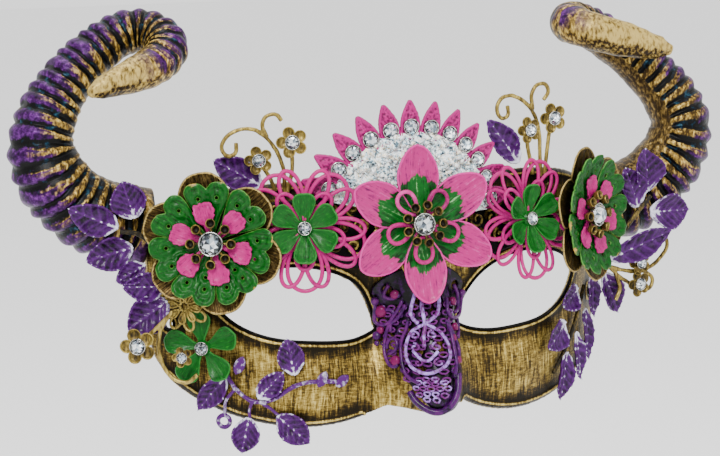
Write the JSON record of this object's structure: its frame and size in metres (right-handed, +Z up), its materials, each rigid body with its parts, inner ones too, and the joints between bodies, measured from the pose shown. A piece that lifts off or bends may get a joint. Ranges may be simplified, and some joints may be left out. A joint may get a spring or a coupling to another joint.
{
  "type": "horned half mask",
  "caption": "Half mask with eye holes, ribbed ram horns, and a crown of painted metal flowers, leaves, wire sprays and stones.",
  "frame": {"origin": "between the wearer's eyes, level with the middle of the eye holes and about 5 mm behind the shell's inner face", "axes": "+Z up, -Y the way the wearer looks, +X to the right of someone who looks at the mask"},
  "size_m": [0.2776, 0.0809, 0.1578],
  "materials": {
    "shell_gold": "brushed antique gold paint over dark primer",
    "horn_paint": "black base, gold and violet dry-brushed over the ribs",
    "lace_black_gold": "black wash with gold on the raised lace",
    "nose_violet": "violet paint with lilac highlights",
    "fan_white": "white glitter rays with pink points",
    "pink_enamel": "hand-painted pink enamel",
    "green_enamel": "hand-painted green enamel, brush marks",
    "antique_gold": "antiqued gold plating with a dark wash",
    "violet_leaf": "violet paint with silver dry-brush",
    "clear_stone": "faceted, foil-backed"
  },
  "bodies": {
    "root": {"back_flower_left": "antique_gold", "back_flower_right": "antique_gold", "bead_cups_left": "antique_gold", "bead_cups_right": "antique_gold", "big_rhinestone_left": "clear_stone", "big_rhinestone_right": "clear_stone", "brow_filigree": "lace_black_gold", "brow_leaf_left": "violet_leaf", "brow_leaf_right": "violet_leaf", "brow_spray_left": "antique_gold", "brow_spray_right": "antique_gold", "center_bead_cups": "antique_gold", "center_filigree": "antique_gold", "center_loop_flower": "pink_enamel", "center_petal_flower": "pink_enamel", "center_rhinestone": "clear_stone", "cheek_flower_left": "green_enamel", "cheek_flower_rhinestone": "clear_stone", "cheek_leaves_right": "violet_leaf", "cheek_vine_left": "violet_leaf", "fan_plate": "fan_white", "fan_rhinestones": "clear_stone", "heart_flower_left": "green_enamel", "heart_flower_right": "green_enamel", "horn_leaves_left": "violet_leaf", "horn_leaves_right": "violet_leaf", "horn_left": "horn_paint", "horn_right": "horn_paint", "lobed_flower_left": "pink_enamel", "lobed_flower_right": "pink_enamel", "loop_filigree_left": "pink_enamel", "loop_filigree_right": "pink_enamel", "mask_shell": "shell_gold", "nose_filigree": "nose_violet", "side_leaves_right": "violet_leaf", "side_spray_left": "antique_gold", "side_spray_right": "antique_gold", "small_flower_left": "green_enamel", "small_flower_right": "green_enamel", "small_rhinestones": "clear_stone", "spray_rhinestones": "clear_stone", "temple_filigree_left": "antique_gold"}
  },
  "joints": []
}
